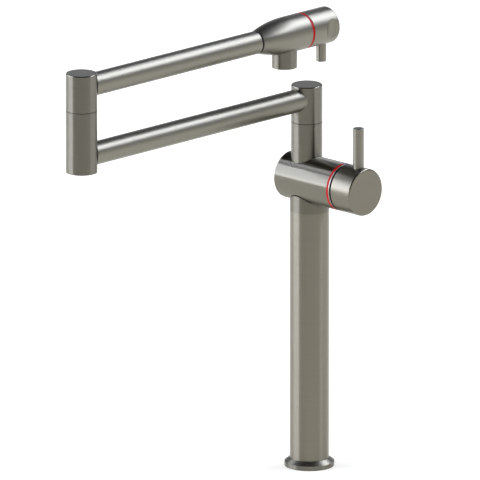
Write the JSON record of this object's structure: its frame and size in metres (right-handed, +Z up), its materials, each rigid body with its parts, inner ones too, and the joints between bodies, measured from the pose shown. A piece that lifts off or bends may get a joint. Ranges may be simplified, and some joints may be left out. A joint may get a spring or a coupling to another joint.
{
  "type": "swivel mixer tap",
  "caption": "Tall deck-mounted mixer tap with a side lever and a folding spout of two tubes joined by an elbow, ending in a valved head with a downward nozzle.",
  "frame": {"origin": "on the column's axis, in the deck plane that the base stands on", "axes": "+Z up, -Y from the column towards the elbow of the folded spout, +X towards the lever"},
  "size_m": [0.1064, 0.3685, 0.4755],
  "materials": {
    "gunmetal_steel": "fine brushed, PVD gunmetal",
    "polished_trim": "polished",
    "black_rubber": "matt",
    "black_acetal": "satin",
    "bare_brass": "machined",
    "plain_steel": "machined",
    "disc_ceramic": "lapped",
    "grey_plastic": "moulded",
    "red_enamel": "gloss",
    "blue_enamel": "gloss"
  },
  "bodies": {
    "stand": {"base_flange": "gunmetal_steel", "base_gasket": "black_rubber", "base_plug": "bare_brass", "column_tube": "gunmetal_steel", "hot_supply_tube": "bare_brass", "cold_supply_tube": "bare_brass", "supply_seals": "black_rubber", "column_grub_screws": "plain_steel", "mixer_body": "gunmetal_steel", "hot_mark": "red_enamel", "cold_mark": "blue_enamel", "dome_cover": "polished_trim", "cartridge_nut": "bare_brass", "cartridge_housing": "grey_plastic", "cartridge_base": "grey_plastic", "cartridge_seals": "black_rubber", "fixed_disc": "disc_ceramic", "post_sleeve": "gunmetal_steel", "post_spigot": "bare_brass", "post_o_rings": "black_rubber", "post_glide_ring": "black_acetal", "post_circlip": "plain_steel"},
    "rotor": {"cartridge_rotor": "grey_plastic", "pivot_pin": "plain_steel"},
    "disc": {"sliding_disc": "disc_ceramic"},
    "lever": {"lever_spindle": "plain_steel", "lever_knob": "gunmetal_steel", "lever_rod": "gunmetal_steel", "lever_grub_screw": "plain_steel"},
    "lower_arm": {"lower_hub": "gunmetal_steel", "lower_hub_cap": "gunmetal_steel", "lower_arm_tube": "gunmetal_steel", "elbow_body": "gunmetal_steel", "elbow_bottom_cap": "gunmetal_steel", "elbow_spigot": "bare_brass", "elbow_o_rings": "black_rubber", "elbow_glide_ring": "black_acetal", "elbow_circlip": "plain_steel"},
    "upper_arm": {"upper_hub": "gunmetal_steel", "upper_hub_cap": "gunmetal_steel", "upper_arm_tube": "gunmetal_steel", "head_joint_ring": "black_rubber", "spout_head": "gunmetal_steel", "head_indicator_ring": "red_enamel", "head_valve_housing": "bare_brass", "head_valve_seal": "black_rubber", "head_fixed_disc": "disc_ceramic", "outlet_nozzle": "gunmetal_steel", "nozzle_washer": "black_rubber", "aerator_housing": "grey_plastic", "aerator_screen": "grey_plastic"},
    "head_valve": {"head_turning_disc": "disc_ceramic", "head_valve_stem": "bare_brass", "head_knob": "gunmetal_steel", "head_pin": "gunmetal_steel", "head_grub_screw": "plain_steel"}
  },
  "joints": [
    {"name": "lever_turn", "type": "hinge", "parent": "stand", "child": "rotor", "pos_m": [0.0251, 0, 0.3014], "axis": [1, 0, 0], "range_deg": [-45, 45]},
    {"name": "lever_tilt", "type": "hinge", "parent": "rotor", "child": "lever", "pos_m": [0.0251, 0, 0.3014], "axis": [0, 1, 0], "range_deg": [0, 18]},
    {"name": "disc_slide", "type": "slide", "parent": "rotor", "child": "disc", "axis": [0, 0, 1], "range_m": [0, 0.0024]},
    {"name": "post_swivel", "type": "hinge", "parent": "stand", "child": "lower_arm", "pos_m": [-0.0041, 0, 0.361], "axis": [0, 0, 1], "continuous": true},
    {"name": "elbow_swivel", "type": "hinge", "parent": "lower_arm", "child": "upper_arm", "pos_m": [-0.0041, -0.323, 0.433], "axis": [0, 0, 1], "continuous": true},
    {"name": "head_valve_turn", "type": "hinge", "parent": "upper_arm", "child": "head_valve", "pos_m": [-0.0041, 0, 0.4568], "axis": [0, -1, 0], "range_deg": [0, 90]}
  ],
  "couplings": [
    {"joint": "disc_slide", "follows": "lever_tilt", "m_per_rad": 0.00735}
  ]
}
